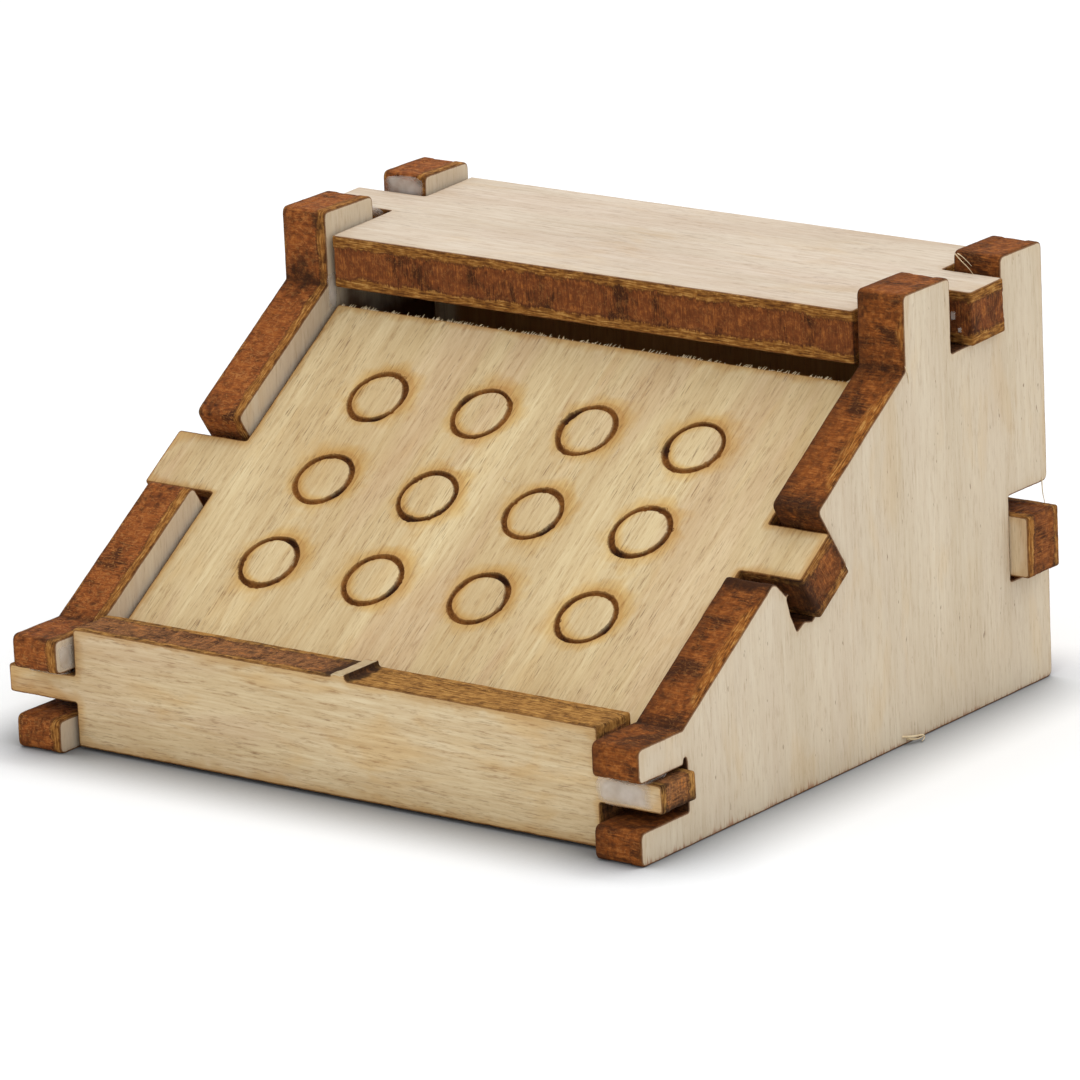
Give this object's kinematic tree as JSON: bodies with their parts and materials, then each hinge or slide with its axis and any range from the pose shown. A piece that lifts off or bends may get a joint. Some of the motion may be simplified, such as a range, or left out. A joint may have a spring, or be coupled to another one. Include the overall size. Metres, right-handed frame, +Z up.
{
  "type": "sloped plywood rack",
  "caption": "Small slotted plywood case with a low front, a sloping face scored with rows of rings, and a level top.",
  "frame": {"origin": "middle of the case's bounding box, at the height of the surface that it stands on", "axes": "+X across the case to the right side panel, +Y from the low front to the back, +Z up"},
  "size_m": [0.045, 0.0384, 0.0248],
  "materials": {
    "side_birch": "bare birch plywood, laser-cut brown edges",
    "cross_birch": "bare birch plywood, laser-cut brown edges",
    "face_birch": "bare birch plywood, scored and scorched by the laser"
  },
  "bodies": {
    "root": {"left_side_panel": "side_birch", "right_side_panel": "side_birch", "front_board": "cross_birch", "sloped_panel": "face_birch", "top_panel": "face_birch", "back_panel": "cross_birch"}
  },
  "joints": []
}
